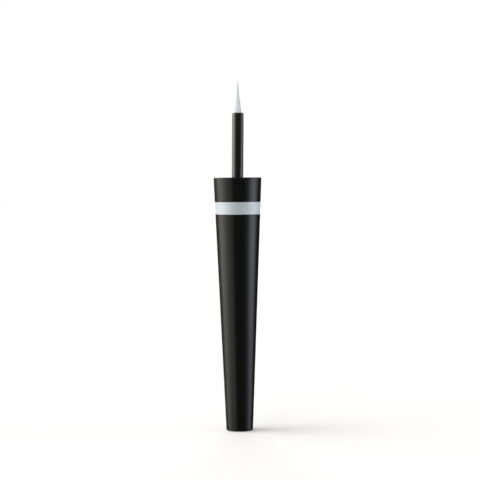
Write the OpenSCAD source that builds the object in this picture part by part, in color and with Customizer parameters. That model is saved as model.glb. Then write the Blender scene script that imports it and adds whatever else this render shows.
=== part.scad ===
// Applicator cap of a dip-in liquid eyeliner, standing on its narrow end with the wand up.
// Millimetres, +Z up, origin at the centre of the foot that it stands on.

/* [Cap] */
// Height of the cap from its foot to its rim
cap_h = 80; // [72:0.5:95]
// Outside diameter at the rim
mouth_d = 15.1; // [14:0.1:18]
// Outside diameter at the foot
foot_d = 8.4; // [7.6:0.1:10]
// Rounding where the side meets the foot
foot_round = 0.45; // [0.2:0.05:0.8]
// Wall of the long shell
shell_wall = 1.2; // [1:0.05:1.4]
// Floor of the long shell
floor_t = 1.6; // [1.2:0.1:2.4]
// Diameter of the shallow dish under the foot
dish_d = 4.8; // [3.6:0.1:5.6]
// Depth of the dish
dish_depth = 0.3; // [0.15:0.05:0.5]
// Diameter of the moulding gate's mark in the dish
gate_d = 1.1; // [0.8:0.1:1.6]
// Height of the gate's mark
gate_h = 0.12; // [0.05:0.01:0.14]

/* [Mouth rings] */
// Height of the black collar that forms the rim
collar_h = 7.7; // [6:0.1:9]
// Height of the pale band under the collar
band_h = 3.9; // [3:0.1:5]
// Thickness of the collar at the rim, outside the shell's spigot
ring_wall = 1.1; // [0.9:0.05:1.3]
// Thickness of the collar's lip over the spigot's end
lip_t = 1.2; // [1:0.05:1.6]
// Rounding of the rim's edges
rim_round = 0.15; // [0.05:0.05:0.3]
// Wall of the shell's spigot under the rings
spigot_wall = 0.9; // [0.75:0.05:1.1]
// Chamfer at the spigot's end
spigot_chamfer = 0.2; // [0.1:0.05:0.35]
// Chamfer where two outside pieces meet
edge_break = 0.08; // [0.04:0.01:0.12]

/* [Threaded liner] */
// Depth from the rim to the face that the seal lies on
seat_depth = 13.2; // [11.5:0.1:15.5]
// Thickness of the liner's roof
roof_t = 1.8; // [1.5:0.1:2.2]
// Wall of the liner outside its thread
liner_wall = 0.65; // [0.5:0.05:0.8]
// Thickness of the liner's flange on the spigot's end
flange_t = 0.9; // [0.7:0.05:1]
// Reach of the flange past the shell's bore
flange_lap = 0.4; // [0.3:0.05:0.6]
// Width of the ledge in the shell that the liner stands on
ledge_w = 0.3; // [0.2:0.05:0.5]
// Number of gripping splines round the liner
spline_count = 24; // [12:1:32]
// Height of a spline
spline_h = 0.15; // [0.1:0.01:0.2]
// Width of a spline
spline_w = 0.45; // [0.3:0.05:0.6]
// Chamfer of the splines' far ends and of the liner's entry
lead_in = 0.4; // [0.2:0.05:0.5]
// Depth of the vial thread
thread_depth = 0.5; // [0.35:0.05:0.6]
// Pitch of the vial thread
thread_pitch = 2.5; // [2.1:0.1:3]
// Turns of the vial thread
thread_turns = 1.75; // [1.25:0.25:2.25]
// Width of the thread at its root
thread_root_w = 1.3; // [1:0.05:1.6]
// Width of the thread at its crest
thread_crest_w = 0.6; // [0.4:0.05:0.8]
// Distance from the rim to the middle of the thread's last turn
thread_inset = 2.2; // [1.8:0.1:2.6]
// Length of the boss that grips the wand
boss_h = 9; // [7:0.5:11]
// Wall of the boss
boss_wall = 1; // [0.8:0.05:1.3]

/* [Seal] */
// Thickness of the seal washer
seal_t = 1; // [0.8:0.1:1.4]
// Clearance of the washer round the wand and in the liner
seal_gap = 0.1; // [0.05:0.01:0.15]

/* [Wand] */
// Length of the wand above the rim
wand_reach = 20.4; // [15:0.2:28]
// Diameter of the wand's stem
wand_d = 3.6; // [3:0.02:4]
// Rounding of the wand's end
wand_round = 0.35; // [0.15:0.05:0.4]
// Diameter of the wand's root in the boss
root_d = 3.2; // [2.6:0.1:3.8]
// Step of the snap head past the root
snap_step = 0.2; // [0.1:0.05:0.3]
// Length of the snap head
snap_h = 1.2; // [0.9:0.1:1.5]
// Width of the flange round the wand's foot
wand_flange_w = 0.85; // [0.6:0.05:1]
// Thickness of that flange, which is let into the liner's roof
wand_flange_t = 0.8; // [0.6:0.1:1]
// Width of the tapered wiper seat, which keeps the washer down
plug_w = 0.5; // [0.3:0.05:0.55]
// Height of the wiper seat
plug_h = 3.5; // [2.5:0.1:4.5]

/* [Tip] */
// Length of the tip past the wand's end
tip_reach = 10.2; // [8:0.1:13]
// Diameter of the tip where it leaves the wand
tip_d = 2.4; // [1.8:0.05:2.5]
// Length of the tip's tenon in the wand
tenon_h = 5.5; // [4:0.1:7]
// Chamfer at the tenon's end and in the wand's socket mouth
tenon_chamfer = 0.15; // [0.08:0.01:0.2]
// Space left under the tenon in its socket
socket_relief = 0.4; // [0.2:0.05:0.6]

/* [Weight] */
// Length of the steel slug in the cap's foot
slug_h = 30; // [20:1:36]
// Chamfer of the slug's ends
slug_chamfer = 0.4; // [0.2:0.05:0.5]
// Number of ribs that grip the slug
grip_count = 4; // [3:1:6]
// Least height of those ribs
grip_h = 0.28; // [0.2:0.02:0.4]
// Width of a gripping rib
grip_w = 0.8; // [0.5:0.05:1]
// Reach of the ribs past the slug's end
grip_past = 1.5; // [0.5:0.1:3]

/* [Hidden] */
$fn = 96;

// Radial gap between pressed pieces, gap between seated faces, and the overrun of a joined shape
fit_gap = 0.03;
seat_gap = 0.02;
bury = 0.12;
// Segments of a rounded edge and rings in a turn of the thread
arc_steps = 6;
thread_steps = 24;
// Share of a turn in which the thread rises from the wall at each end
thread_rise_share = 0.2;

// Radius of the tip as a share of its base, each with its height as a share of the reach
tip_shares = [[1, 0], [0.94, 0.05], [0.82, 0.13], [0.72, 0.22], [0.62, 0.32], [0.53, 0.42], [0.45, 0.52],
    [0.375, 0.62], [0.31, 0.72], [0.245, 0.82], [0.175, 0.92], [0.11, 0.98]];

// Most of the stem's wall at its end that the rounding and the socket's chamfer may take
end_round_share = 0.65;
end_chamfer_share = 0.3;

// The cone of the cap's outside
foot_r = foot_d / 2;
cone_slope = (mouth_d / 2 - foot_r) / cap_h;
cone_angle = atan(cone_slope);
function cone_r(z) = foot_r + cone_slope * z;

// Heights where the outside pieces meet
band_low_z = cap_h - collar_h - band_h;
collar_low_z = cap_h - collar_h;
lip_low_z = cap_h - lip_t;
spigot_top_z = lip_low_z - seat_gap;

// Radii of the nested pieces in the mouth, from the outside in
spigot_r = mouth_d / 2 - ring_wall;
ring_bore_r = spigot_r + fit_gap;
bore_r = spigot_r - spigot_wall;
flange_r = bore_r + flange_lap;
spline_r = bore_r - fit_gap;
barrel_r = spline_r - spline_h;
thread_r = barrel_r - liner_wall;

// Heights of the liner
roof_z = cap_h - seat_depth;
barrel_low_z = roof_z - roof_t;
boss_low_z = barrel_low_z - boss_h;
flange_top_z = lip_low_z + flange_t;
thread_top_z = cap_h - thread_inset;
thread_low_z = thread_top_z - thread_pitch * thread_turns;

// Inside of the shell
ledge_z = barrel_low_z - seat_gap;
ledge_r = bore_r - ledge_w;
core_low_r = cone_r(floor_t) - shell_wall;
core_top_z = (ledge_r + shell_wall - foot_r) / cone_slope;

// The wand and its tip
wand_r = wand_d / 2;
root_r = root_d / 2;
boss_bore_r = root_r + fit_gap;
wand_top_z = cap_h + wand_reach;
wand_flange_r = wand_r + wand_flange_w;
wand_flange_z = roof_z - wand_flange_t;
recess_z = wand_flange_z - seat_gap;
seal_z = roof_z + seat_gap;
plug_z = seal_z + seal_t + seat_gap;
snap_z = boss_low_z - seat_gap;
tip_r = tip_d / 2;
socket_r = tip_r + fit_gap;
end_wall = wand_r - socket_r;
end_round = min(wand_round, end_wall * end_round_share);
end_chamfer = min(tenon_chamfer, end_wall * end_chamfer_share);
tenon_low_z = wand_top_z - tenon_h;
socket_z = tenon_low_z - socket_relief;

// The slug
slug_r = core_low_r - grip_h - fit_gap;
slug_low_z = floor_t + seat_gap;
slug_top_z = slug_low_z + slug_h;

// Points of an arc round a centre, between two angles
function arc(r, z, round_r, from, to) =
    [for (i = [0:arc_steps]) let (a = from + (to - from) * i / arc_steps)
        [r + round_r * cos(a), z + round_r * sin(a)]];

module turned(outline) {
    rotate_extrude() polygon(outline);
}

module outer_shell() {
    foot_centre_r = cone_r(foot_round) - foot_round / cos(cone_angle);
    outline = concat(
        [[0, dish_depth], [dish_d / 2, dish_depth], [dish_d / 2 + dish_depth, 0]],
        arc(foot_centre_r, foot_round, foot_round, -90, -cone_angle),
        [[cone_r(band_low_z - edge_break), band_low_z - edge_break],
            [cone_r(band_low_z) - edge_break, band_low_z],
            [spigot_r, band_low_z],
            [spigot_r, spigot_top_z - spigot_chamfer],
            [spigot_r - spigot_chamfer, spigot_top_z],
            [bore_r, spigot_top_z],
            [bore_r, ledge_z],
            [ledge_r, ledge_z],
            [ledge_r, core_top_z],
            [core_low_r, floor_t],
            [0, floor_t]]);
    color([0.05, 0.05, 0.055]) {
        turned(outline);
        translate([0, 0, dish_depth - gate_h]) cylinder(d = gate_d, h = gate_h + bury);
        slug_ribs();
    }
}

// Ribs inside the shell's foot that grip the slug
module slug_ribs() {
    rib_top_z = slug_top_z + grip_past;
    difference() {
        intersection() {
            turned([[0, floor_t - bury], [core_low_r + bury, floor_t - bury],
                [cone_r(rib_top_z) - shell_wall + bury, rib_top_z], [0, rib_top_z]]);
            for (i = [0:grip_count - 1])
                rotate([0, 0, i * 360 / grip_count])
                    translate([0, -grip_w / 2, 0]) cube([mouth_d, grip_w, rib_top_z]);
        }
        translate([0, 0, -bury]) cylinder(r = slug_r + fit_gap, h = rib_top_z + 2 * bury);
    }
}

module accent_band() {
    low_z = band_low_z + seat_gap;
    color([0.72, 0.76, 0.78]) turned([
        [ring_bore_r, low_z],
        [cone_r(low_z) - edge_break, low_z],
        [cone_r(low_z + edge_break), low_z + edge_break],
        [cone_r(collar_low_z - edge_break), collar_low_z - edge_break],
        [cone_r(collar_low_z) - edge_break, collar_low_z],
        [ring_bore_r, collar_low_z]]);
}

module mouth_collar() {
    low_z = collar_low_z + seat_gap;
    lip_r = flange_r + fit_gap;
    color([0.05, 0.05, 0.055]) turned(concat(
        [[ring_bore_r, low_z],
            [cone_r(low_z) - edge_break, low_z],
            [cone_r(low_z + edge_break), low_z + edge_break]],
        arc(mouth_d / 2 - rim_round, cap_h - rim_round, rim_round, 0, 90),
        arc(lip_r + rim_round, cap_h - rim_round, rim_round, 90, 180),
        [[lip_r, lip_low_z], [ring_bore_r, lip_low_z]]));
}

module inner_cap() {
    boss_r = boss_bore_r + boss_wall;
    recess_r = wand_flange_r + fit_gap;
    color([0.12, 0.12, 0.125]) {
        turned([
            [boss_bore_r, boss_low_z],
            [boss_r, boss_low_z],
            [boss_r, barrel_low_z],
            [barrel_r - lead_in, barrel_low_z],
            [barrel_r, barrel_low_z + lead_in],
            [barrel_r, lip_low_z],
            [flange_r, lip_low_z],
            [flange_r, flange_top_z],
            [thread_r + lead_in, flange_top_z],
            [thread_r, flange_top_z - lead_in],
            [thread_r, roof_z],
            [recess_r, roof_z],
            [recess_r, recess_z],
            [boss_bore_r, recess_z]]);
        liner_splines();
        liner_thread();
    }
}

// Splines that bite the shell's bore, so that the liner can't turn
module liner_splines() {
    low_z = barrel_low_z + 2 * lead_in;
    difference() {
        for (i = [0:spline_count - 1])
            rotate([0, 0, i * 360 / spline_count])
                translate([barrel_r - bury, -spline_w / 2, low_z])
                    cube([spline_h + bury, spline_w, lip_low_z - bury - low_z]);
        // The outside of the splines follows the bore
        difference() {
            cylinder(r = bore_r + spline_h, h = cap_h);
            translate([0, 0, -bury]) cylinder(r = spline_r, h = cap_h + 2 * bury);
        }
    }
}

// One ring of the thread: root and crest points, below and above its middle
function thread_ring(i) =
    let (turn = thread_turns * i / thread_rings,
        rise = min(1, turn / thread_rise_share, (thread_turns - turn) / thread_rise_share),
        a = 360 * turn,
        z = thread_low_z + thread_pitch * turn,
        root = thread_r + 2 * bury,
        crest = thread_r + bury - (thread_depth + bury) * rise)
    [for (p = [[root, -thread_root_w / 2], [root, thread_root_w / 2],
            [crest, thread_crest_w / 2], [crest, -thread_crest_w / 2]])
        [p[0] * cos(a), p[0] * sin(a), z + p[1]]];

thread_rings = round(thread_steps * thread_turns);

// The right-hand thread that the vial's neck screws into
module liner_thread() {
    points = [for (i = [0:thread_rings]) each thread_ring(i)];
    last = 4 * thread_rings;
    sides = [for (i = [0:thread_rings - 1]) for (j = [0:3])
        let (a = 4 * i + j, b = 4 * i + (j + 1) % 4)
            each [[a, b, a + 4], [b, b + 4, a + 4]]];
    ends = [[0, 2, 1], [0, 3, 2], [last, last + 1, last + 2], [last, last + 2, last + 3]];
    polyhedron(points, concat(sides, ends), convexity = 4);
}

module seal_washer() {
    color([0.9, 0.9, 0.88]) translate([0, 0, seal_z]) difference() {
        cylinder(r = thread_r - seal_gap, h = seal_t);
        translate([0, 0, -bury]) cylinder(r = wand_r + seal_gap, h = seal_t + 2 * bury);
    }
}

module wand() {
    color([0.05, 0.05, 0.055]) turned(concat(
        [[0, snap_z - snap_h],
            [root_r - snap_step, snap_z - snap_h],
            [root_r + snap_step, snap_z - snap_step],
            [root_r + snap_step, snap_z],
            [root_r, snap_z],
            [root_r, wand_flange_z],
            [wand_flange_r, wand_flange_z],
            [wand_flange_r, roof_z],
            [wand_r, roof_z],
            [wand_r, plug_z],
            [wand_r + plug_w, plug_z],
            [wand_r, plug_z + plug_h]],
        arc(wand_r - end_round, wand_top_z - end_round, end_round, 0, 90),
        [[socket_r + end_chamfer, wand_top_z],
            [socket_r, wand_top_z - end_chamfer],
            [socket_r, socket_z],
            [0, socket_z]]));
}

module fibre_tip() {
    spire = [for (s = tip_shares) [tip_r * s[0], wand_top_z + tip_reach * s[1]]];
    color([0.82, 0.84, 0.85]) turned(concat(
        [[0, tenon_low_z],
            [tip_r - tenon_chamfer, tenon_low_z],
            [tip_r, tenon_low_z + tenon_chamfer]],
        spire,
        [[0, wand_top_z + tip_reach]]));
}

module cap_weight() {
    color([0.6, 0.6, 0.62]) turned([
        [0, slug_low_z],
        [slug_r - slug_chamfer, slug_low_z],
        [slug_r, slug_low_z + slug_chamfer],
        [slug_r, slug_top_z - slug_chamfer],
        [slug_r - slug_chamfer, slug_top_z],
        [0, slug_top_z]]);
}

outer_shell();
accent_band();
mouth_collar();
inner_cap();
seal_washer();
wand();
fibre_tip();
cap_weight();
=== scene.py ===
"""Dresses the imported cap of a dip-in eyeliner, and sets up the studio that it stands in."""

import math

import bmesh
import bpy
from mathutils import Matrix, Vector


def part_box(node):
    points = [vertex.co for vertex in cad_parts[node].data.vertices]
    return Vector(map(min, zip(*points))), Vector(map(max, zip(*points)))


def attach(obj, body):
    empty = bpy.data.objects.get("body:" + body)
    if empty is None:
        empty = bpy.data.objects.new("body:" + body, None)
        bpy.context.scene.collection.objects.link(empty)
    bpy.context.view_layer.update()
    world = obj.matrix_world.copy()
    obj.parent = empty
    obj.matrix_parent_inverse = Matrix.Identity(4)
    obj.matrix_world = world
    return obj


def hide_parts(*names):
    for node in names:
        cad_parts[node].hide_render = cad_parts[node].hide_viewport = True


bl_info = {
    "name": "Eyeliner applicator cap",
    "version": (1, 0, 0),
    "blender": (4, 5, 0),
    "location": "3D View > Sidebar > Applicator",
    "description": "Builds the finished pieces of an eyeliner's cap round its packed frame",
    "category": "Add Mesh",
}

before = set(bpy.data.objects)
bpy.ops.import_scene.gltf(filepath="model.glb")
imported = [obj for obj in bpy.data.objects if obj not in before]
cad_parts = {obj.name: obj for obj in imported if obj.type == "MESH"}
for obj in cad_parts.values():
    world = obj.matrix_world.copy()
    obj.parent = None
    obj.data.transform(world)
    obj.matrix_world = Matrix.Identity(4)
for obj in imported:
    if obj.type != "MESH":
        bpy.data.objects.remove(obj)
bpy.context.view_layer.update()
BODY = "root"
MM = 0.001
TURN = 2 * math.pi
WHITE = (1.0, 1.0, 1.0)
BRIGHTEST = 4.0


def length(name, description, default):
    """A property that holds a length in metres, given in millimetres."""
    return bpy.props.FloatProperty(name=name, description=description, default=default * MM,
                                   precision=5, subtype="DISTANCE", unit="LENGTH")


def share(name, description, default, top=1.0):
    """A property that holds a plain number from zero up."""
    return bpy.props.FloatProperty(name=name, description=description, default=default,
                                   min=0.0, max=top)


def card_light(name, default):
    """A property that holds how bright a lamp makes a white card that faces it."""
    description = "How bright this lamp makes a white card that faces it"
    return share(name, description, default, BRIGHTEST)


def count(name, description, default):
    """A property that holds a whole number."""
    return bpy.props.IntProperty(name=name, description=description, default=default, min=1)


def angle(name, description, default):
    """A property that holds an angle in radians, given in degrees."""
    return bpy.props.FloatProperty(name=name, description=description, subtype="ANGLE",
                                   unit="ROTATION", default=math.radians(default))


def colour(name, description, default):
    """A property that holds a colour, as the shader takes it."""
    return bpy.props.FloatVectorProperty(name=name, description=description, default=default,
                                         size=3, min=0.0, max=1.0, subtype="COLOR")


class CapSizes(bpy.types.PropertyGroup):
    """Sizes that the frame's boxes don't give. They repeat the part's own sizes."""

    foot_d: length("Foot diameter", "Across the foot", 8.4)
    foot_round: length("Foot rounding", "Rounding of the foot's edge", 0.45)
    dish_d: length("Dish diameter", "Across the dish under the foot", 4.8)
    dish_depth: length("Dish depth", "Depth of the dish", 0.3)
    gate_d: length("Gate diameter", "Across the moulding gate's mark", 1.1)
    gate_h: length("Gate height", "Height of the gate's mark", 0.12)
    floor_t: length("Floor", "Thickness of the shell's floor", 1.6)
    shell_wall: length("Shell wall", "Wall of the long shell", 1.2)
    ring_wall: length("Ring wall", "Wall of the collar at the rim", 1.1)
    spigot_wall: length("Spigot wall", "Wall of the shell's spigot", 0.9)
    spigot_round: length("Spigot rounding", "Rounding of the spigot's end", 0.2)
    lip_t: length("Lip", "Thickness of the collar's lip", 1.2)
    rim_round: length("Rim rounding", "Rounding of the rim's edges", 0.15)
    edge_break: length("Edge break", "Rounding where two outside pieces meet", 0.08)
    ledge_w: length("Ledge", "Width of the ledge under the liner", 0.3)
    fit_gap: length("Fit gap", "Radial gap between pressed pieces", 0.03)
    seat_gap: length("Seat gap", "Gap between seated faces", 0.02)
    grip_count: count("Grip ribs", "Ribs that grip the weight", 4)
    grip_w: length("Grip rib width", "Width of a gripping rib", 0.8)
    grip_past: length("Grip rib reach", "Reach past the weight's end", 1.5)


class LinerSizes(bpy.types.PropertyGroup):
    """Sizes of the threaded liner in the mouth."""

    wall: length("Liner wall", "Wall outside the thread", 0.65)
    seat_depth: length("Seat depth", "From the rim to the seal's seat", 13.2)
    roof_t: length("Roof", "Thickness of the liner's roof", 1.8)
    boss_wall: length("Boss wall", "Wall of the boss round the wand", 1.0)
    lead_in: length("Lead-in", "Chamfer at the liner's entry", 0.4)
    spline_count: count("Splines", "Splines that grip the shell", 24)
    spline_h: length("Spline height", "Height of a spline", 0.15)
    spline_w: length("Spline width", "Width of a spline", 0.45)
    pitch: length("Thread pitch", "Pitch of the vial thread", 2.5)
    turns: share("Thread turns", "Turns of the vial thread", 1.75, top=6.0)
    depth: length("Thread depth", "Depth of the vial thread", 0.5)
    root_w: length("Thread root", "Width of the thread at its root", 1.3)
    crest_w: length("Thread crest", "Width of the thread at its crest", 0.6)
    inset: length("Thread inset", "From the rim to the last turn", 2.2)
    rise_share: share("Thread rise", "Share of a turn in which it rises", 0.2)


class WandSizes(bpy.types.PropertyGroup):
    """Sizes of the wand, its tip and the seal round its foot."""

    stem_d: length("Stem diameter", "Across the wand's stem", 3.6)
    end_round: length("End rounding", "Rounding of the wand's end", 0.35)
    root_d: length("Root diameter", "Across the wand's root", 3.2)
    snap_step: length("Snap step", "Step of the snap head past the root", 0.2)
    snap_h: length("Snap height", "Length of the snap head", 1.2)
    flange_t: length("Flange", "Thickness of the wand's flange", 0.8)
    plug_w: length("Wiper seat width", "Width of the tapered seat", 0.5)
    plug_h: length("Wiper seat height", "Height of the wiper seat", 3.5)
    seam_h: length("Seam height", "Height of the mould's parting line", 0.02)
    seam_w: length("Seam width", "Width of the parting line", 0.12)
    lean: length("Lean", "How far right the tip stands", 0.33)
    lean_from: length("Lean from", "Height where the lean starts", 79.0)
    tenon_chamfer: length("Tenon chamfer", "Chamfer of the tip's tenon and its socket", 0.15)
    socket_relief: length("Socket relief", "Space under the tenon", 0.4)
    bundle_count: count("Fibre bundles", "Fibre bundles round the tip", 16)
    bundle_w: length("Bundle width", "Width of a bundle's back", 0.26)
    bundle_h: length("Bundle height", "Height of a bundle's back", 0.02)
    seal_gap: length("Seal gap", "Radial gap between the stem and the seal", 0.1)


class Studio(bpy.types.PropertyGroup):
    """The camera, the lamps and the surfaces round the part."""

    camera_distance: length("Camera distance", "From the axis to the camera", 520.0)
    camera_height: length("Camera height", "Height over the floor", 76.0)
    camera_aside: length("Camera aside", "How far right of the axis it is", 0.62)
    camera_pitch: angle("Camera pitch", "How far the camera looks down", 1.73)
    camera_roll: angle("Camera roll", "How far the camera leans", 0.52)
    lens: bpy.props.FloatProperty(name="Lens", description="Focal length", default=123.45,
                                  unit="CAMERA")
    tent_r: length("Tent radius", "Radius of the wall of cards", 60.0)
    tent_h: length("Tent height", "Height of that wall", 150.0)
    tent_top: share("Tent top", "Brightness of the tent's roof", 0.25, BRIGHTEST)
    left_box: card_light("Left softbox", 0.947)
    low_front: card_light("Low front lamp", 0.20)
    right_box: card_light("Low right lamp", 0.36)
    high_spot: card_light("High left spot", 0.406)
    back_box: card_light("Back softbox", 0.377)
    sky: share("Sky", "Brightness of the light from all round", 0.22, BRIGHTEST)
    floor_colour: colour("Floor", "Colour of the floor", (0.5, 0.5, 0.5))
    floor_lift: share("Floor lift", "Brightness that the floor adds where it is seen", 0.162)


class Finishes(bpy.types.PropertyGroup):
    """Colours of the finishes."""

    black: colour("Black plastic", "The cap's moulded black", (0.0052, 0.0052, 0.0055))
    stem_black: colour("Stem plastic", "The wand's moulded black", (0.0105, 0.0103, 0.0100))
    liner_black: colour("Liner plastic", "The liner's matt black", (0.012, 0.012, 0.0125))
    silver: colour("Band", "The band's satin metal", (0.57, 0.635, 0.675))
    felt: colour("Tip", "The tip's bonded fibre", (0.68, 0.71, 0.725))
    foam: colour("Seal", "The seal's white foam", (0.80, 0.80, 0.77))
    steel: colour("Weight", "The weight's plated steel", (0.56, 0.57, 0.58))


# Node trees

class Field:
    """A node's output that sums can be written with: each adds a Math node to its tree."""

    def __init__(self, socket):
        self.socket = socket
        self.tree = socket.id_data

    def math(self, operation, *others):
        return add(self.tree, "ShaderNodeMath", {"operation": operation}, self, *others)

    def __add__(self, other):
        return self.math("ADD", other)

    def __sub__(self, other):
        return self.math("SUBTRACT", other)

    def __mul__(self, other):
        return self.math("MULTIPLY", other)

    def __truediv__(self, other):
        return self.math("DIVIDE", other)

    def eased(self, low, high, to_low=0.0, to_high=1.0, kind="SMOOTHSTEP"):
        """This value, brought from one range into another and kept within it."""
        return add(self.tree, "ShaderNodeMapRange", {"interpolation_type": kind}, self, low, high,
                   to_low, to_high)


def put(slot, value):
    """Links a field into an input, or sets the input's own value."""
    if isinstance(value, Field):
        slot.id_data.links.new(value.socket, slot)
    else:
        slot.default_value = value


def feed(node, **inputs):
    """Fills a node's inputs, which are named as its sockets are, with _ for a space."""
    for name, value in inputs.items():
        put(node.inputs[name.replace("_", " ")], value)


def add(tree, kind, settings=None, *values, take=0, **inputs):
    """Adds a node, fills its inputs in order or by name, and gives the field of one output."""
    node = tree.nodes.new(kind)
    for name, value in (settings or {}).items():
        setattr(node, name, value)
    for slot, value in zip(node.inputs, values):
        put(slot, value)
    feed(node, **inputs)
    return Field(node.outputs[take]) if node.outputs else None


def axes(tree, place):
    """The X, Y and Z of a place."""
    parts = tree.nodes.new("ShaderNodeSeparateXYZ")
    put(parts.inputs[0], place)
    return [Field(part) for part in parts.outputs]


SOCKETS = {int: "NodeSocketInt", float: "NodeSocketFloat", type(None): "NodeSocketMaterial"}


def node_tree(name, inputs):
    """A Geometry Nodes tree with one geometry output, and its inputs' fields by name."""
    tree = bpy.data.node_groups.new(name, "GeometryNodeTree")
    geometry = {"name": "Geometry", "socket_type": "NodeSocketGeometry"}
    tree.interface.new_socket(in_out="INPUT", **geometry)
    for label, value in inputs.items():
        kind = SOCKETS[type(value)]
        tree.interface.new_socket(name=label, in_out="INPUT", socket_type=kind)
    tree.interface.new_socket(in_out="OUTPUT", **geometry)
    source = tree.nodes.new("NodeGroupInput")
    return tree, {s.name: Field(s) for s in source.outputs if s.name}


def new_object(name, data):
    """An object in the scene that holds a mesh, a light or a camera."""
    made = bpy.data.objects.new(name, data)
    bpy.context.scene.collection.objects.link(made)
    return made


def run_tree(piece, tree, values):
    """Runs a tree with values by its inputs' names, and leaves the result as a plain mesh."""
    modifier = piece.modifiers.new(tree.name, "NODES")
    modifier.node_group = tree
    for item in tree.interface.items_tree:
        if item.in_out == "INPUT" and item.name in values:
            modifier[item.identifier] = values[item.name]
    graph = bpy.context.evaluated_depsgraph_get()
    result = bpy.data.meshes.new_from_object(piece.evaluated_get(graph), depsgraph=graph)
    piece.modifiers.remove(modifier)
    old = piece.data
    piece.data = result
    bpy.data.meshes.remove(old)
    result.name = piece.name
    return piece


# Inputs of the turning tree, each with its value for a piece that has no use for it
TURNED_INPUTS = {
    "Segments": 192, "Ribs": 1, "Rib Width": MM, "Pitch": MM, "Turns": 1.0, "Thread Start": 0.0,
    "Root Width": MM, "Crest Width": 0.5 * MM, "Rise": 0.5, "Material": None,
}
MERGE = 0.0001 * MM
CREASE = math.radians(40)
RIB_EDGE = 0.04 * MM


def turned_tree():
    """Turns an outline in the XZ plane about +Z.

    The outline's points say how high the ribs and the thread stand there.
    """
    tree, given = node_tree("turned_outline", TURNED_INPUTS)
    outline = given["Geometry"]
    points = add(tree, "GeometryNodeAttributeDomainSize", take="Point Count", Geometry=outline)
    grid = add(tree, "GeometryNodeMeshGrid", Vertices_X=given["Segments"] + 1, Vertices_Y=points)
    index = add(tree, "GeometryNodeInputIndex")
    turn = (index / points).math("FLOOR") / given["Segments"]
    row = index.math("MODULO", points)

    def of_outline(value, kind="FLOAT"):
        return add(tree, "GeometryNodeSampleIndex", {"data_type": kind}, Geometry=outline,
                   Value=value, Index=row)

    def named(name):
        kind = {"data_type": "FLOAT"}
        return of_outline(add(tree, "GeometryNodeInputNamedAttribute", kind, Name=name))

    place = of_outline(add(tree, "GeometryNodeInputPosition"), "FLOAT_VECTOR")
    radius, _, height = axes(tree, place)

    # Ribs: how far this point is from the middle of its rib, measured round the piece
    off_rib = ((turn * given["Ribs"] + 0.5).math("FRACT") - 0.5).math("ABSOLUTE")
    off_rib = off_rib / given["Ribs"] * TURN * radius
    half_rib = given["Rib Width"] * 0.5
    rib = off_rib.eased(half_rib + RIB_EDGE, half_rib - RIB_EDGE)

    # Thread: which turn of the helix is nearest, and how far this point is from it, up or down
    climbed = (height - given["Thread Start"]) / given["Pitch"]
    along = turn + (climbed - turn).math("ROUND")
    off_ridge = (climbed - along).math("ABSOLUTE") * given["Pitch"]
    ridge = off_ridge.eased(given["Root Width"] * 0.5, given["Crest Width"] * 0.5)
    from_ends = along.math("MINIMUM", given["Turns"] - along)
    ridge = ridge * from_ends.eased(0.0, given["Rise"])

    radius = radius + rib * named("rib") - ridge * named("ridge")
    spot = add(tree, "ShaderNodeCombineXYZ", X=radius, Z=height)
    turned = add(tree, "ShaderNodeVectorRotate", {"rotation_type": "Z_AXIS"}, Vector=spot,
                 Angle=turn * TURN)
    shaped = add(tree, "GeometryNodeSetPosition", Geometry=grid, Position=turned)
    worn = add(tree, "GeometryNodeStoreNamedAttribute", {"data_type": "FLOAT", "domain": "POINT"},
               Geometry=shaped, Name="wear", Value=named("wear"))
    closed = add(tree, "GeometryNodeMergeByDistance", Geometry=worn, Distance=MERGE)
    smooth = add(tree, "GeometryNodeSetShadeSmooth", {"domain": "FACE"}, Geometry=closed)
    bend = add(tree, "GeometryNodeInputMeshEdgeAngle", take="Unsigned Angle")
    creased = add(tree, "GeometryNodeSetShadeSmooth", {"domain": "EDGE"}, Geometry=smooth,
                  Selection=bend.math("GREATER_THAN", CREASE), Shade_Smooth=False)
    real = add(tree, "GeometryNodeRealizeInstances", Geometry=creased)
    dressed = add(tree, "GeometryNodeSetMaterial", Geometry=real, Material=given["Material"])
    add(tree, "NodeGroupOutput", Geometry=dressed)
    return tree


# Outlines

ARC_STEPS = 6
SUPPORT = 0.1 * MM
SHORTEST_RUN = 4 * SUPPORT
LONGEST_RUN = 2.0 * MM


class Corner:
    """A corner of an outline: its radius and height, its rounding, and the run after it.

    Of that run it holds the height of the ribs, the height of the thread and the longest step.
    """

    def __init__(self, r, z, rounding=0.0, rib=0.0, ridge=0.0, step=LONGEST_RUN):
        self.at = Vector((r, z))
        self.rounding = rounding
        self.rib = rib
        self.ridge = ridge
        self.step = step

    def arc(self, before, after):
        """The corner's points: one where it is sharp, and an arc between its runs otherwise."""
        if not self.rounding:
            return [self.at]
        back = (before.at - self.at).normalized()
        on = (after.at - self.at).normalized()
        half = back.angle(on) / 2
        reach = self.rounding / math.tan(half)
        if reach > min((before.at - self.at).length, (after.at - self.at).length):
            raise ValueError(f"a rounding of {self.rounding / MM:.3f} mm doesn't fit its corner")
        centre = self.at + (back + on).normalized() * (self.rounding / math.sin(half))
        start = self.at + back * reach - centre
        sweep = start.angle_signed(self.at + on * reach - centre)
        turned = []
        for i in range(ARC_STEPS + 1):
            a = -sweep * i / ARC_STEPS
            turned.append(centre + Vector((
                start.x * math.cos(a) - start.y * math.sin(a),
                start.x * math.sin(a) + start.y * math.cos(a))))
        return turned


def run_between(start, end, step):
    """Points of a straight run: one close to each end, and even steps between those."""
    span = (end - start).length
    if span < SHORTEST_RUN:
        return []
    along = (end - start) / span
    inner = span - 2 * SUPPORT
    steps = max(1, math.ceil(inner / step))
    return [start + along * (SUPPORT + inner * i / steps) for i in range(steps + 1)]


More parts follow.
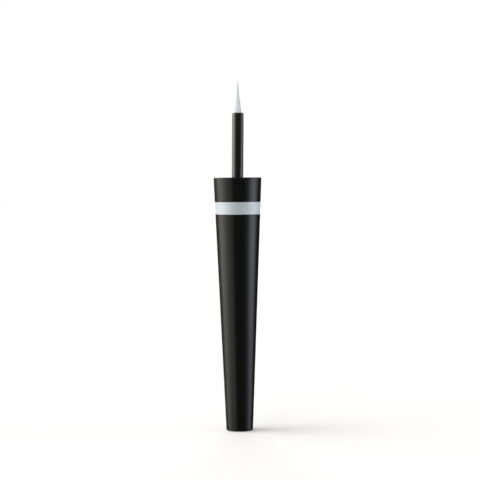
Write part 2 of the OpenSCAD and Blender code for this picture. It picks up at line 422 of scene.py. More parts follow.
def outline_points(corners, loop):
    """(place, wear, rib, ridge) of every point. A loop comes back to its first point."""
    total = len(corners)
    arcs = []
    for i, corner in enumerate(corners):
        open_end = not loop and i in (0, total - 1)
        before, after = corners[i - 1], corners[(i + 1) % total]
        arcs.append([corner.at] if open_end else corner.arc(before, after))
    points = []
    for i, corner in enumerate(corners):
        wear = 1.0 if len(arcs[i]) > 1 else 0.0
        points += [(p, wear, 0.0, 0.0) for p in arcs[i]]
        if loop or i < total - 1:
            run = run_between(arcs[i][-1], arcs[(i + 1) % total][0], corner.step)
            for j, p in enumerate(run):
                inner = 0 < j < len(run) - 1
                points.append((p, 0.0, corner.rib * inner, corner.ridge * inner))
    if loop:
        points.append(points[0])
    return points


def turned_piece(name, corners, material, loop=False, **values):
    """A piece turned from an outline that runs anticlockwise, seen with +Z up and +X right.

    Values are named as the turning tree's inputs are, with _ for a space.
    """
    points = outline_points(corners, loop)
    edges = [(i, i + 1) for i in range(len(points) - 1)]
    mesh = bpy.data.meshes.new(name)
    mesh.from_pydata([(p.x, 0.0, p.y) for p, *_ in points], edges, [])
    for slot, label in enumerate(("wear", "rib", "ridge"), start=1):
        layer = mesh.attributes.new(label, "FLOAT", "POINT")
        layer.data.foreach_set("value", [point[slot] for point in points])
    named = {label.replace("_", " "): value for label, value in values.items()}
    tree = bpy.data.node_groups.get("turned_outline") or turned_tree()
    return run_tree(new_object(name, mesh), tree, {**TURNED_INPUTS, **named, "Material": material})


def lean(piece, wand):
    """Moves the stem and the tip a little to the right, as a moulded stem is never straight."""
    end_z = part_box("wand")[1].z
    for vertex in piece.data.vertices:
        part = (vertex.co.z - wand.lean_from) / (end_z - wand.lean_from)
        vertex.co.x += wand.lean * min(1.0, max(0.0, part))
    return piece


def finish_piece(piece, node):
    """Tests that a piece is closed with its faces outward, and puts it in its node's place."""
    shape = bmesh.new()
    shape.from_mesh(piece.data)
    loose = [e for e in shape.edges if len(e.link_faces) != 2]
    volume = shape.calc_volume(signed=True)
    shape.free()
    if loose or volume <= 0:
        raise RuntimeError(f"{piece.name}: {len(loose)} open edges, a volume of {volume}")
    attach(piece, BODY)
    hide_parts(node)


# Materials

# Between which of a noise's values a change happens
MIDDLE = (0.3, 0.7)
WIDE = (0.2, 0.8)
RUBBED = (0.42, 0.68)
STAINED = (0.35, 0.75)
PEAKS = (0.67, 0.72)


def new_material(name, colour, roughness, **settings):
    """A material with a Principled shader, that shader's node, and their tree."""
    material = bpy.data.materials.new(name)
    material.use_nodes = True
    tree = material.node_tree
    shader = tree.nodes["Principled BSDF"]
    feed(shader, Base_Color=(*colour, 1.0), Roughness=roughness, **settings)
    return material, shader, tree


def object_place(tree):
    """The surface's place in metres, in the piece's own frame."""
    return add(tree, "ShaderNodeTexCoord", take="Object")


def noise(tree, place, feature, detail=2.0, roughness=0.5):
    """Noise from 0 to 1 whose features are about as large as the size given, in metres."""
    return add(tree, "ShaderNodeTexNoise", take="Fac", Vector=place, Scale=1 / feature,
               Detail=detail, Roughness=roughness)


def stretched(tree, place, z):
    """A place, stretched along Z."""
    return add(tree, "ShaderNodeVectorMath", {"operation": "MULTIPLY"}, place, (1.0, 1.0, z))


def cylinder_place(tree, place):
    """A place as (turn about +Z, distance from the axis, height)."""
    x, y, height = axes(tree, place)
    return y.math("ARCTAN2", x) / TURN, (x * x + y * y).math("SQRT"), height


def turning_marks(tree, place, feature, wrap, detail):
    """Noise drawn out into lines round the axis, where a whole turn counts as long as wrap."""
    turn, radius, height = cylinder_place(tree, place)
    around = add(tree, "ShaderNodeCombineXYZ", X=turn * wrap, Y=radius, Z=height)
    return noise(tree, around, feature, detail)


def mixed(tree, amount, first, second):
    """A colour between two, by an amount from 0 to 1."""
    node = tree.nodes.new("ShaderNodeMix")
    node.data_type = "RGBA"
    feed(node, Factor=amount)
    low, high, result = (s for s in (*node.inputs, *node.outputs) if s.type == "RGBA")
    put(low, (*first, 1.0))
    put(high, (*second, 1.0))
    return Field(result)


def dress(tree, shader, colour, roughness, height, depth):
    """Gives a shader its fields. The height's 0 to 1 stands for a relief of that depth."""
    relief = add(tree, "ShaderNodeBump", Height=height, Distance=depth, Strength=1.0)
    feed(shader, Base_Color=colour, Roughness=roughness, Normal=relief)


def wear_of(tree):
    """1 on the rounded edges of a turned piece, and 0 on its straight runs."""
    return add(tree, "ShaderNodeAttribute", {"attribute_name": "wear"}, take="Fac")


def shade(colour, factor):
    """A colour, darker or lighter by a factor."""
    return tuple(min(1.0, c * factor) for c in colour)


# Hairline scratches: their spacing, their width as a share of their length, and their turn.
# They are turned by multiples of the lean.
HAIRS = ((0.35 * MM, 0.04, 1), (0.5 * MM, 0.06, 2))
HAIR_LEAN = (0.4, 0.9, 1.7)


def scratches(tree, place, spacing, length_share, turn):
    """Fine, sparse scratches from 0 to 1, each much longer than it is wide."""
    leaned = add(tree, "ShaderNodeVectorRotate", {"rotation_type": "EULER_XYZ"}, Vector=place,
                 Rotation=tuple(lean * turn for lean in HAIR_LEAN))
    drawn = stretched(tree, leaned, length_share)
    return noise(tree, drawn, spacing, detail=1.0).eased(*PEAKS)


# The black plastic: sizes in its surface, and what each does to roughness, colour and relief
RUB_SIZE, RUB_ROUGHNESS, RUB_PALENESS = 0.9 * MM, 0.12, 0.6
CLOUD_SIZE, CLOUD_ROUGHNESS, CLOUD_PALENESS = 5.0 * MM, (-0.01, 0.02), 0.2
HAIR_ROUGHNESS, HAIR_DEPTH = 0.03, 0.02
RIPPLE_SIZE, RIPPLE_HEIGHT = 1.6 * MM, 0.8
SKIN_SIZE, SKIN_HEIGHT = 0.12 * MM, 0.06
PALEST_PLASTIC = 2.2
PLASTIC_RELIEF = 0.003 * MM


def moulded_black(name, colour, roughness, gloss=0.5):
    """Moulded black plastic: faint ripple, clouds in the gloss, hairlines and rubbed edges."""
    material, shader, tree = new_material(name, colour, roughness, Specular_IOR_Level=gloss)
    place = object_place(tree)
    rubbed = wear_of(tree) * noise(tree, place, RUB_SIZE, detail=3.0).eased(*RUBBED)
    clouds = noise(tree, place, CLOUD_SIZE, detail=3.0)
    fine, coarse = (scratches(tree, place, *hair) for hair in HAIRS)
    hairs = fine + coarse
    polished, dull = (roughness + change for change in CLOUD_ROUGHNESS)
    grain = clouds.eased(*MIDDLE, polished, dull, "LINEAR")
    paleness = rubbed * RUB_PALENESS + clouds * CLOUD_PALENESS
    ripple = noise(tree, place, RIPPLE_SIZE) * RIPPLE_HEIGHT
    ripple = ripple + noise(tree, place, SKIN_SIZE, detail=1.0) * SKIN_HEIGHT
    dress(tree, shader, mixed(tree, paleness, colour, shade(colour, PALEST_PLASTIC)),
          grain + hairs * HAIR_ROUGHNESS + rubbed * RUB_ROUGHNESS,
          ripple - hairs * HAIR_DEPTH, PLASTIC_RELIEF)
    return material


SPARK_SIZE, SPARK_ROUGHNESS, SPARK_RELIEF = 0.09 * MM, (0.40, 0.58), 0.012 * MM
MATT_CLOUD_SIZE, PALEST_MATT = 2.5 * MM, 1.5


def matt_black(colour):
    """The liner's unpolished moulding: spark-eroded grain all over."""
    material, shader, tree = new_material("liner_plastic", colour, 0.5)
    place = object_place(tree)
    grain = noise(tree, place, SPARK_SIZE, detail=3.0, roughness=0.6)
    clouds = noise(tree, place, MATT_CLOUD_SIZE).eased(*MIDDLE)
    dress(tree, shader, mixed(tree, clouds, colour, shade(colour, PALEST_MATT)),
          grain.eased(*WIDE, *SPARK_ROUGHNESS, "LINEAR"), grain, SPARK_RELIEF)
    return material


LATHE_SIZE, LATHE_WRAP, LATHE_ROUGHNESS, LATHE_RELIEF = 0.05 * MM, 3 * MM, (0.44, 0.52), 0.003 * MM
BLOOM_SIZE, BLOOM_ROUGHNESS, BLOOM_SHADES = 1.8 * MM, 0.03, (0.97, 1.02)
WORN_SHINE = 0.1


def satin_metal(colour):
    """The band's anodised metal: fine lines round it, which catch the light in soft streaks."""
    material, shader, tree = new_material(
        "satin_metal", colour, 0.48, Metallic=0.36, Specular_IOR_Level=0.1, Sheen_Weight=0.6,
        Sheen_Roughness=0.5)
    place = object_place(tree)
    lines = turning_marks(tree, place, LATHE_SIZE, LATHE_WRAP, detail=2.0)
    bloom = noise(tree, place, BLOOM_SIZE, detail=3.0)
    roughness = lines.eased(*WIDE, *LATHE_ROUGHNESS, "LINEAR") + bloom * BLOOM_ROUGHNESS
    dark, pale = (shade(colour, factor) for factor in BLOOM_SHADES)
    dress(tree, shader, mixed(tree, bloom.eased(*MIDDLE), dark, pale),
          roughness - wear_of(tree) * WORN_SHINE, lines, LATHE_RELIEF)
    return material


CELL_SIZE, CELL_ROUGHNESS, CELL_RELIEF = 0.22 * MM, (0.8, 0.6), 0.03 * MM
# The first two set the painted shade in the dimples' hollows: how dark it is, and how far out from
# their middle it reaches
DIMPLE_PAINTED_SHADE, DIMPLE_SHADE_REACH, CELL_SMOOTH_FROM = 0.86, 0.7, 0.8


def white_foam(colour):
    """The seal's closed-cell foam, with a skin of small dimples and painted shade in their
    hollows.
    """
    material, shader, tree = new_material(
        "white_foam", colour, 0.7, Subsurface_Weight=0.15, Subsurface_Scale=0.4 * MM)
    dimples = add(tree, "ShaderNodeTexVoronoi", {"feature": "SMOOTH_F1"}, take="Distance",
                  Vector=object_place(tree), Scale=1 / CELL_SIZE)
    # Painted shade: the foam gets darker towards the bottom of each dimple, where its relief is
    # lowest
    pale = dimples.eased(0.0, DIMPLE_SHADE_REACH)
    dress(tree, shader, mixed(tree, pale, shade(colour, DIMPLE_PAINTED_SHADE), colour),
          dimples.eased(0.0, CELL_SMOOTH_FROM, *CELL_ROUGHNESS, "LINEAR"), dimples, CELL_RELIEF)
    return material


STRAND_SIZE, STRAND_SLIMNESS, STRAND_RELIEF = 0.06 * MM, 0.06, 0.03 * MM
# Painted shade between the strands and painted light on their backs, as factors of the colour
STRAND_PAINTED_SHADE_AND_LIGHT = (0.96, 1.03)
PATCH_SIZE, PATCH_ROUGHNESS = 1.1 * MM, (0.68, 0.84)


def bonded_felt(colour):
    """The tip's bonded fibre: raised strands along it, with painted shade between them and painted
    light on their backs, dull, and light that sinks in a little.
    """
    material, shader, tree = new_material(
        "bonded_felt", colour, 0.75, Diffuse_Roughness=1.0, Specular_IOR_Level=0.05,
        Subsurface_Weight=0.3, Subsurface_Radius=(1.0, 1.0, 1.0), Subsurface_Scale=1.0 * MM)
    place = object_place(tree)
    drawn = stretched(tree, place, STRAND_SLIMNESS)
    strands = noise(tree, drawn, STRAND_SIZE, detail=3.0, roughness=0.6)
    patches = noise(tree, place, PATCH_SIZE)
    # Painted shade and light: the colour follows the strands' relief, darker where it is low and
    # lighter where it is high
    dark, pale = (shade(colour, factor) for factor in STRAND_PAINTED_SHADE_AND_LIGHT)
    dress(tree, shader, mixed(tree, strands.eased(*MIDDLE), dark, pale),
          patches.eased(*MIDDLE, *PATCH_ROUGHNESS, "LINEAR"), strands, STRAND_RELIEF)
    return material


MARK_SIZE, MARK_WRAP, MARK_ROUGHNESS, MARK_RELIEF = 0.12 * MM, 2 * MM, (0.28, 0.42), 0.01 * MM
STAIN_SIZE, STAIN_ROUGHNESS, STAIN_SHADE = 2.2 * MM, 0.08, 0.8


def turned_steel(colour):
    """The weight's bar steel: turning marks round it and a dull plated finish."""
    material, shader, tree = new_material("turned_steel", colour, 0.35, Metallic=1.0)
    place = object_place(tree)
    marks = turning_marks(tree, place, MARK_SIZE, MARK_WRAP, detail=3.0)
    stains = noise(tree, place, STAIN_SIZE, detail=4.0)
    roughness = marks.eased(*WIDE, *MARK_ROUGHNESS, "LINEAR") + stains * STAIN_ROUGHNESS
    dress(tree, shader, mixed(tree, stains.eased(*STAINED), colour, shade(colour, STAIN_SHADE)),
          roughness, marks, MARK_RELIEF)
    return material


class CapLines:
    """The cap's cone, and the radii and heights that its pieces share."""

    def __init__(self, scene):
        sizes = scene.cap_sizes
        liner = scene.liner_sizes
        self.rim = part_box("mouth_collar")[1]
        self.foot_r = sizes.foot_d / 2
        self.slope = (self.rim.x - self.foot_r) / self.rim.z
        self.spigot_r = self.rim.x - sizes.ring_wall
        self.ring_bore_r = self.spigot_r + sizes.fit_gap
        self.bore_r = self.spigot_r - sizes.spigot_wall
        self.lip_z = self.rim.z - sizes.lip_t
        self.band_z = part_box("accent_band")[0].z - sizes.seat_gap
        self.roof_z = self.rim.z - liner.seat_depth
        self.barrel_z = self.roof_z - liner.roof_t

    def outside_r(self, z):
        """Radius of the cap's outside at a height."""
        return self.foot_r + self.slope * z


# Operators, each with the small roundings of its piece

BORE_ROUND = 0.05 * MM
CAP_ROUGHNESS = 0.20
GATE_ROUND, DISH_ROUND, DISH_LIP_ROUND = 0.04 * MM, 0.1 * MM, 0.08 * MM
CORE_ROUND, CORE_STEPS, CORE_RUN = 1.0 * MM, 12, 4 * MM


class APPLICATOR_OT_shell(bpy.types.Operator):
    """Build the long tapered shell, with its foot, spigot and hollow"""

    bl_idname = "applicator.shell"
    bl_label = "Long shell"

    def execute(self, context):
        sizes = context.scene.cap_sizes
        cap = CapLines(context.scene)
        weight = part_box("cap_weight")[1]
        grip_r = weight.x + sizes.fit_gap
        grip_z = weight.z + sizes.grip_past
        top_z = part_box("outer_shell")[1].z
        ledge_z = cap.barrel_z - sizes.seat_gap
        ledge_r = cap.bore_r - sizes.ledge_w
        core_top_z = (ledge_r + sizes.shell_wall - cap.foot_r) / cap.slope
        dish_r = sizes.dish_d / 2
        gate_r = sizes.gate_d / 2
        gate_z = sizes.dish_depth - sizes.gate_h
        core = [Corner(ledge_r, ledge_z), Corner(ledge_r, core_top_z, CORE_ROUND)]
        for i in range(CORE_STEPS + 1):
            z = grip_z + (sizes.floor_t - grip_z) * i / CORE_STEPS
            r = cap.outside_r(z) - sizes.shell_wall
            core.append(Corner(r, z, rib=grip_r - r, step=CORE_RUN))
        corners = [
            Corner(0, gate_z),
            Corner(gate_r, gate_z, GATE_ROUND),
            Corner(gate_r, sizes.dish_depth, GATE_ROUND),
            Corner(dish_r, sizes.dish_depth, DISH_ROUND),
            Corner(dish_r + sizes.dish_depth, 0, DISH_LIP_ROUND),
            Corner(cap.foot_r, 0, sizes.foot_round),
            Corner(cap.outside_r(cap.band_z), cap.band_z, sizes.edge_break),
            Corner(cap.spigot_r, cap.band_z),
            Corner(cap.spigot_r, top_z, sizes.spigot_round),
            Corner(cap.bore_r, top_z, BORE_ROUND),
            Corner(cap.bore_r, ledge_z),
            *core,
            Corner(0, sizes.floor_t),
        ]
        black = moulded_black("shell_plastic", context.scene.cap_finishes.black, CAP_ROUGHNESS)
        piece = turned_piece("long_shell", corners, black, Ribs=sizes.grip_count,
                             Rib_Width=sizes.grip_w)
        finish_piece(piece, "outer_shell")
        return {"FINISHED"}


class APPLICATOR_OT_rings(bpy.types.Operator):
    """Build the pale band and the black collar, which slide over the shell's spigot"""

    bl_idname = "applicator.rings"
    bl_label = "Band and collar"

    def execute(self, context):
        sizes = context.scene.cap_sizes
        finishes = context.scene.cap_finishes
        cap = CapLines(context.scene)
        bore = cap.ring_bore_r
        low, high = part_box("accent_band")
        band = [
            Corner(bore, low.z, BORE_ROUND),
            Corner(cap.outside_r(low.z), low.z, sizes.edge_break),
            Corner(cap.outside_r(high.z), high.z, sizes.edge_break),
            Corner(bore, high.z, BORE_ROUND),
        ]
        silver = satin_metal(finishes.silver)
        finish_piece(turned_piece("pale_band", band, silver, loop=True), "accent_band")
        low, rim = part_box("mouth_collar")
        lip_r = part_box("inner_cap")[1].x + sizes.fit_gap
        collar = [
            Corner(bore, low.z, BORE_ROUND),
            Corner(cap.outside_r(low.z), low.z, sizes.edge_break),
            Corner(rim.x, rim.z, sizes.rim_round),
            Corner(lip_r, rim.z, sizes.rim_round),
            Corner(lip_r, cap.lip_z),
            Corner(bore, cap.lip_z),
        ]
        black = moulded_black("collar_plastic", finishes.black, CAP_ROUGHNESS)
        finish_piece(turned_piece("rim_collar", collar, black, loop=True), "mouth_collar")
        return {"FINISHED"}


BOSS_END_ROUND, BOSS_ROUND, BOSS_FILLET, BARREL_ROUND = 0.1 * MM, 0.15 * MM, 0.25 * MM, 0.35 * MM
LIP_ROUND, ENTRY_ROUND, SEAT_FILLET = 0.12 * MM, 0.1 * MM, 0.12 * MM
THREAD_STEP = 0.07 * MM
LINER_SEGMENTS = 168


class APPLICATOR_OT_liner(bpy.types.Operator):
    """Build the threaded liner, with the splines that hold it and the boss round the wand"""

    bl_idname = "applicator.liner"
    bl_label = "Threaded liner"

    def execute(self, context):
        sizes = context.scene.cap_sizes
        liner = context.scene.liner_sizes
        wand = context.scene.wand_sizes
        cap = CapLines(context.scene)
        low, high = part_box("inner_cap")
        barrel_r = cap.bore_r - sizes.fit_gap - liner.spline_h
        thread_r = barrel_r - liner.wall
        bore_r = wand.root_d / 2 + sizes.fit_gap
        boss_r = bore_r + liner.boss_wall
        recess_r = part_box("wand")[1].x + sizes.fit_gap
        recess_z = cap.roof_z - wand.flange_t - sizes.seat_gap
        thread_start = cap.rim.z - liner.inset - liner.pitch * liner.turns
        corners = [
            Corner(bore_r, low.z, BOSS_END_ROUND),
            Corner(boss_r, low.z, BOSS_ROUND),
            Corner(boss_r, cap.barrel_z, BOSS_FILLET),
            Corner(barrel_r, cap.barrel_z, BARREL_ROUND),
            Corner(barrel_r, cap.barrel_z + 2 * liner.lead_in, rib=liner.spline_h),
            Corner(barrel_r, cap.lip_z - 3 * SUPPORT),
            Corner(barrel_r, cap.lip_z),
            Corner(high.x, cap.lip_z, BORE_ROUND),
            Corner(high.x, high.z, LIP_ROUND),
            Corner(thread_r + liner.lead_in, high.z, ENTRY_ROUND),
            Corner(thread_r, high.z - liner.lead_in, ENTRY_ROUND, ridge=liner.depth,
                   step=THREAD_STEP),
            Corner(thread_r, cap.roof_z, SEAT_FILLET),
            Corner(recess_r, cap.roof_z, BORE_ROUND),
            Corner(recess_r, recess_z),
            Corner(bore_r, recess_z),
        ]
        black = matt_black(context.scene.cap_finishes.liner_black)
        piece = turned_piece(
            "threaded_liner", corners, black, loop=True, Segments=LINER_SEGMENTS,
            Ribs=liner.spline_count, Rib_Width=liner.spline_w, Pitch=liner.pitch,
            Turns=liner.turns, Thread_Start=thread_start, Root_Width=liner.root_w,
            Crest_Width=liner.crest_w, Rise=liner.rise_share)
        finish_piece(piece, "inner_cap")
        return {"FINISHED"}


SEAL_LOW_ROUND, SEAL_TOP_ROUND, SEAL_HOLE_ROUND = 0.08 * MM, 0.2 * MM, 0.15 * MM
SEAL_STEP = 0.3 * MM
SEAL_SEGMENTS = 144


class APPLICATOR_OT_seal(bpy.types.Operator):
    """Build the foam seal round the wand's foot"""

    bl_idname = "applicator.seal"
    bl_label = "Seal"

    def execute(self, context):
        wand = context.scene.wand_sizes
        low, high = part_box("seal_washer")
        hole_r = wand.stem_d / 2 + wand.seal_gap
        rounded = (
            (hole_r, low.z, SEAL_LOW_ROUND), (high.x, low.z, SEAL_LOW_ROUND),
            (high.x, high.z, SEAL_TOP_ROUND), (hole_r, high.z, SEAL_HOLE_ROUND),
        )
        corners = [Corner(*corner, step=SEAL_STEP) for corner in rounded]
        foam = white_foam(context.scene.cap_finishes.foam)
        piece = turned_piece("foam_seal", corners, foam, loop=True, Segments=SEAL_SEGMENTS)
        finish_piece(piece, "seal_washer")
        return {"FINISHED"}


HEAD_END_ROUND, HEAD_ROUND, SNAP_ROUND, FLANGE_ROUND = 0.1 * MM, 0.08 * MM, 0.03 * MM, 0.06 * MM
PLUG_ROUND, PLUG_BLEND, SOCKET_ROUND = 0.12 * MM, 6 * MM, 0.04 * MM
STEM_ROUGHNESS, STEM_GLOSS = 0.14, 1.0


class APPLICATOR_OT_wand(bpy.types.Operator):
    """Build the wand, from its snap head to the socket that holds the tip"""

    bl_idname = "applicator.wand"
    bl_label = "Wand"

    def execute(self, context):
        sizes = context.scene.cap_sizes
        wand = context.scene.wand_sizes
        low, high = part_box("wand")
        roof_z = CapLines(context.scene).roof_z
        flange_z = roof_z - wand.flange_t
        plug_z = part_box("seal_washer")[1].z + sizes.seat_gap
        stem_r = wand.stem_d / 2
        root_r = wand.root_d / 2
        head_r = root_r + wand.snap_step
        snap_z = low.z + wand.snap_h
        tenon_low, tenon_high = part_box("fibre_tip")
        socket_r = tenon_high.x + sizes.fit_gap
        socket_z = tenon_low.z - wand.socket_relief
        corners = [
            Corner(0, low.z),
            Corner(root_r - wand.snap_step, low.z, HEAD_END_ROUND),
            Corner(head_r, snap_z - wand.snap_step, HEAD_ROUND),
            Corner(head_r, snap_z, SNAP_ROUND),
            Corner(root_r, snap_z),
            Corner(root_r, flange_z),
            Corner(high.x, flange_z, FLANGE_ROUND),
            Corner(high.x, roof_z, FLANGE_ROUND),
            Corner(stem_r, roof_z),
            Corner(stem_r, plug_z),
            Corner(stem_r + wand.plug_w, plug_z, PLUG_ROUND),
            Corner(stem_r, plug_z + wand.plug_h, PLUG_BLEND, rib=wand.seam_h),
            Corner(stem_r, high.z, wand.end_round),
            Corner(socket_r + wand.tenon_chamfer, high.z, SOCKET_ROUND),
            Corner(socket_r, high.z - wand.tenon_chamfer, SOCKET_ROUND),
            Corner(socket_r, socket_z),
            Corner(0, socket_z),
        ]
        black = moulded_black("stem_plastic", context.scene.cap_finishes.stem_black,
                              STEM_ROUGHNESS, STEM_GLOSS)
        piece = turned_piece("stem", corners, black, Ribs=2, Rib_Width=wand.seam_w)
        finish_piece(lean(piece, wand), "wand")
        return {"FINISHED"}


# Radius of the tip as a share of its base, each with its height as a share of the reach
TIP_SHARES = (
    (1.0, 0.0), (0.94, 0.05), (0.82, 0.13), (0.72, 0.22), (0.62, 0.32), (0.53, 0.42),
    (0.45, 0.52), (0.375, 0.62), (0.31, 0.72), (0.245, 0.82), (0.175, 0.92), (0.11, 0.98),
)
TIP_STEP = 0.15 * MM


class APPLICATOR_OT_tip(bpy.types.Operator):
    """Build the felt tip, with fibres that run to its point"""

    bl_idname = "applicator.tip"
    bl_label = "Felt tip"

    def execute(self, context):
        wand = context.scene.wand_sizes
        low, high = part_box("fibre_tip")
        base_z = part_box("wand")[1].z
        reach = high.z - base_z
        spire = [Corner(high.x * r, base_z + reach * z, rib=wand.bundle_h, step=TIP_STEP)
                 for r, z in TIP_SHARES]
        corners = [
            Corner(0, low.z),
            Corner(high.x - wand.tenon_chamfer, low.z),
            Corner(high.x, low.z + wand.tenon_chamfer),
            *spire,
            Corner(0, high.z),
        ]
        felt = bonded_felt(context.scene.cap_finishes.felt)
        piece = turned_piece("felt_tip", corners, felt, Ribs=wand.bundle_count,
                             Rib_Width=wand.bundle_w)
        finish_piece(lean(piece, wand), "fibre_tip")
        return {"FINISHED"}


class APPLICATOR_OT_weight(bpy.types.Operator):
    """Give the weight inside the shell its steel"""

    bl_idname = "applicator.weight"
    bl_label = "Weight"

    def execute(self, context):
        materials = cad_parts["cap_weight"].data.materials
        materials.clear()
        materials.append(turned_steel(context.scene.cap_finishes.steel))
        return {"FINISHED"}


# The studio

def staged(name, points, faces, material):
    """A surface of the studio, which isn't part of the object."""
    mesh = bpy.data.meshes.new(name)
    mesh.from_pydata(points, [], faces)
    mesh.materials.append(material)
    surface = new_object(name, mesh)
    return surface


def seen_directly(tree):
    """1 for rays of the camera, of reflections and through glass, and 0 for those that light."""
    path = tree.nodes.new("ShaderNodeLightPath").outputs
    direct = Field(path["Is Camera Ray"])
    for kind in ("Is Glossy Ray", "Is Transmission Ray"):
        direct = direct.math("MAXIMUM", Field(path[kind]))
    return direct


def floor_material(colour, lift):
    """White paper that keeps its shadows, and is a little brighter where it is seen directly."""
    material, shader, tree = new_material("studio_paper", colour, 1.0, Specular_IOR_Level=0.0,
                                          Emission_Color=(*WHITE, 1.0))
    feed(shader, Emission_Strength=seen_directly(tree) * lift)
    return material


# Brightness of the tent by direction: degrees round from the camera, with the left below zero
BODY_LIGHT = {
    -180: 0.02, -150: 0.03, -135: 0.08, -118: 0.36, -100: 1.75, -85: 1.9, -70: 1.45, -55: 0.82,
    -40: 0.5, -26: 0.35, -22: 0.0, 28: 0.0, 40: 0.1, 50: 0.27, 60: 1.0, 72: 1.85, 84: 2.05,
    98: 1.0, 112: 0.12, 125: 0.02, 150: 0.01, 180: 0.02,
}
STEM_LIGHT = {
    -180: 0.1, -155: 0.2, -134: 1.0, -110: 2.5, -95: 2.9, -80: 2.25, -69: 1.45, -55: 0.55,
    -46: 0.16, -24: 0.0, -15: 0.0, 35: 0.0, 60: 0.05, 72: 0.6, 84: 1.2, 100: 1.1, 116: 0.6,
    135: 0.25, 150: 0.1, 180: 0.1,
}
FOOT_LIGHT = {
    -180: 0.02, -150: 0.03, -135: 0.06, -118: 0.34, -100: 1.25, -85: 1.15, -70: 0.78, -55: 0.56,
    -40: 0.53, -26: 0.37, -22: 0.0, 28: 0.0, 40: 0.04, 50: 0.07, 60: 0.16, 72: 0.6, 84: 0.98,
    98: 1.1, 112: 0.16, 125: 0.03, 150: 0.02, 180: 0.02,
}
# Heights at which one table gives way to the next, and the roof to the wall
FOOT_BLEND = (-5 * MM, 52 * MM)
STEM_SPLIT = (79 * MM, 82 * MM)
ROOF_BLEND = (140 * MM, 149 * MM)
# Distances from the axis within which the tent's floor is dimmed, and by how much
NEAR_FOOT = (4 * MM, 50 * MM)
NEAR_FOOT_DIM = 0.8
LEFT_TINT = (1.0, 0.985, 0.94)
RIGHT_TINT = (0.93, 0.95, 1.06)
TINT_BLEND = (0.4, 0.6)
# The camera's direction as a share of a turn about +Z
CAMERA_TURN = -0.25


def light_curve(tree, turn, table):
    """The brightness that a table gives by direction."""
    node = tree.nodes.new("ShaderNodeFloatCurve")
    top = max(table.values())
    curve = node.mapping.curves[0]
    while len(curve.points) < len(table):
        curve.points.new(0.5, 0.5)
    for point, (degrees, light) in zip(curve.points, table.items()):
        point.location = (degrees / 360 + 0.5, light / top)
        point.handle_type = "VECTOR"
    node.mapping.update()
    feed(node, Value=turn)
    return Field(node.outputs[0]) * top


def tent_material(roof, tent_r, foot_r):
    """The softboxes and black cards: light by direction and height, in the tent's own frame."""
    material = bpy.data.materials.new("studio_tent")
    material.use_nodes = True
    tree = material.node_tree
    tree.nodes.clear()
    turn, radius, height = cylinder_place(tree, object_place(tree))
    # Close to the foot a reflection meets the floor before it has swung right round, so the
    # turn is drawn out there. The camera's own direction comes to lie at 0.5.
    closeness = (radius.math("POWER", -1.0) - 1 / tent_r) * (foot_r / 2)
    past_camera = (turn + (1.5 - CAMERA_TURN)).math("FRACT") - 0.5
    from_camera = past_camera / (closeness * -1 + 1) + 0.5
    foot = light_curve(tree, from_camera, FOOT_LIGHT)
    body = light_curve(tree, from_camera, BODY_LIGHT)
    stem = light_curve(tree, from_camera, STEM_LIGHT)
    wall = foot + (body - foot) * height.eased(*FOOT_BLEND, kind="LINEAR")
    wall = wall + (stem - wall) * height.eased(*STEM_SPLIT)
    wall = wall * radius.eased(*NEAR_FOOT, NEAR_FOOT_DIM, 1.0, "LINEAR")
    light = wall + (wall * -1 + roof) * height.eased(*ROOF_BLEND)
    tint = mixed(tree, from_camera.eased(*TINT_BLEND), LEFT_TINT, RIGHT_TINT)
    glow = add(tree, "ShaderNodeEmission", Color=tint, Strength=light)
    add(tree, "ShaderNodeOutputMaterial", Surface=glow)
    return material


# Lamps: degrees over the floor and round from the right, the angle that each fills, its tint
LAMPS = {
    "left_box": (63, 191, 78, (1.0, 0.985, 0.96)),
    "low_front": (12, 250, 24, (1.0, 0.98, 0.95)),
    "right_box": (10, 4, 20, WHITE),
    "high_spot": (70, 181, 24, WHITE),
    "back_box": (27, 92, 26, WHITE),
}


def far_lamp(name, level):
    """A soft lamp so far away that it lights the whole floor alike.

    Reflections don't show it, because the tent stands for it there.
    """
    over_floor, from_right, fills, tint = LAMPS[name]
    data = bpy.data.lights.new(name, "SUN")
    data.energy = level * math.pi
    data.angle = math.radians(fills)
    data.color = tint
    lamp = new_object(name, data)
    lamp.rotation_euler = (0.0, math.radians(90 - over_floor), math.radians(from_right))
    lamp.visible_glossy = False


FLOOR_HALF = 9.0
TENT_STEPS = 180
TENT_FOOT_R = 4.3 * MM
TENT_HOLE_R = 0.5 * MM
TENT_LIFT = 0.02 * MM
SENSOR_WIDTH = 36.0
CLIP = (10 * MM, 40.0)


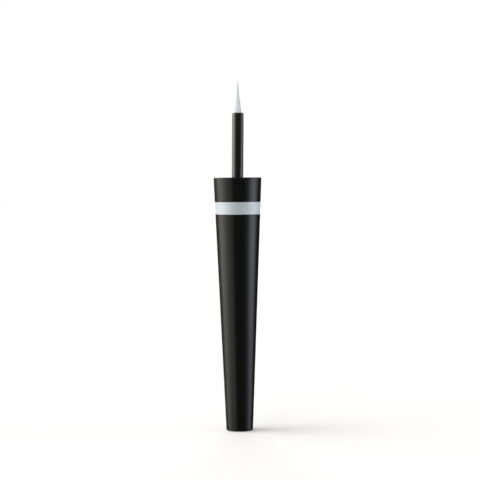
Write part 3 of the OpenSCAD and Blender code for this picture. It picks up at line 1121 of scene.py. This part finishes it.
class APPLICATOR_OT_studio(bpy.types.Operator):
    """Set up the floor, the tent, the lamps, the world and the camera"""

    bl_idname = "applicator.studio"
    bl_label = "Studio"

    def execute(self, context):
        studio = context.scene.studio
        self.floor(studio)
        self.tent(studio, context.scene.cap_sizes.foot_d / 2)
        for name in LAMPS:
            far_lamp(name, getattr(studio, name))
        self.world(context, studio)
        self.camera(context, studio)
        return {"FINISHED"}

    @staticmethod
    def floor(studio):
        a = FLOOR_HALF
        corners = [(-a, -a, 0), (a, -a, 0), (a, a, 0), (-a, a, 0)]
        paper = floor_material(studio.floor_colour, studio.floor_lift)
        staged("floor", corners, [(0, 1, 2, 3)], paper)

    @staticmethod
    def tent(studio, foot_r):
        profile = ((TENT_FOOT_R, TENT_LIFT), (studio.tent_r, TENT_LIFT),
                   (studio.tent_r, studio.tent_h), (TENT_HOLE_R, studio.tent_h))
        points = []
        faces = []
        for i in range(TENT_STEPS):
            a = TURN * i / TENT_STEPS
            points += [(r * math.cos(a), r * math.sin(a), z) for r, z in profile]
            here = i * len(profile)
            there = (i + 1) % TENT_STEPS * len(profile)
            faces += [(here + j, there + j, there + j + 1, here + j + 1)
                      for j in range(len(profile) - 1)]
        tent = staged("tent", points, faces, tent_material(studio.tent_top, studio.tent_r, foot_r))
        for kind in ("camera", "diffuse", "shadow", "transmission"):
            setattr(tent, f"visible_{kind}", False)

    @staticmethod
    def world(context, studio):
        world = bpy.data.worlds.new("studio_air")
        world.use_nodes = True
        tree = world.node_tree
        feed(tree.nodes["Background"], Color=(*WHITE, 1.0),
             Strength=seen_directly(tree) * (1.0 - studio.sky) + studio.sky)
        context.scene.world = world

    @staticmethod
    def camera(context, studio):
        data = bpy.data.cameras.new("camera")
        data.lens = studio.lens
        data.sensor_width = SENSOR_WIDTH
        data.clip_start, data.clip_end = CLIP
        camera = new_object("camera", data)
        camera.location = (studio.camera_aside, -studio.camera_distance, studio.camera_height)
        camera.rotation_mode = "XYZ"
        camera.rotation_euler = (math.pi / 2 - studio.camera_pitch, 0.0, 0.0)
        camera.rotation_euler.rotate_axis("Z", -studio.camera_roll)
        context.scene.camera = camera
        context.scene.view_settings.view_transform = "Standard"


class APPLICATOR_PT_panel(bpy.types.Panel):
    """Lists the sizes, colours and steps of the applicator"""

    bl_label = "Applicator"
    bl_idname = "APPLICATOR_PT_panel"
    bl_space_type = "VIEW_3D"
    bl_region_type = "UI"
    bl_category = "Applicator"

    def draw(self, context):
        for step in STEPS:
            self.layout.operator(step.bl_idname)
        for label in GROUPS:
            box = self.layout.box()
            group = getattr(context.scene, label)
            for name in group.__annotations__:
                box.prop(group, name)


STEPS = (
    APPLICATOR_OT_shell,
    APPLICATOR_OT_rings,
    APPLICATOR_OT_liner,
    APPLICATOR_OT_seal,
    APPLICATOR_OT_wand,
    APPLICATOR_OT_tip,
    APPLICATOR_OT_weight,
    APPLICATOR_OT_studio,
)
GROUPS = {
    "cap_sizes": CapSizes,
    "liner_sizes": LinerSizes,
    "wand_sizes": WandSizes,
    "studio": Studio,
    "cap_finishes": Finishes,
}
CLASSES = (*GROUPS.values(), *STEPS, APPLICATOR_PT_panel)


def register():
    for kind in CLASSES:
        bpy.utils.register_class(kind)
    for label, kind in GROUPS.items():
        setattr(bpy.types.Scene, label, bpy.props.PointerProperty(type=kind))


def unregister():
    for label in GROUPS:
        delattr(bpy.types.Scene, label)
    for kind in reversed(CLASSES):
        bpy.utils.unregister_class(kind)


def main():
    register()
    bpy.ops.applicator.shell()
    bpy.ops.applicator.rings()
    bpy.ops.applicator.liner()
    bpy.ops.applicator.seal()
    bpy.ops.applicator.wand()
    bpy.ops.applicator.tip()
    bpy.ops.applicator.weight()
    bpy.ops.applicator.studio()


if __name__ == "__main__":
    main()
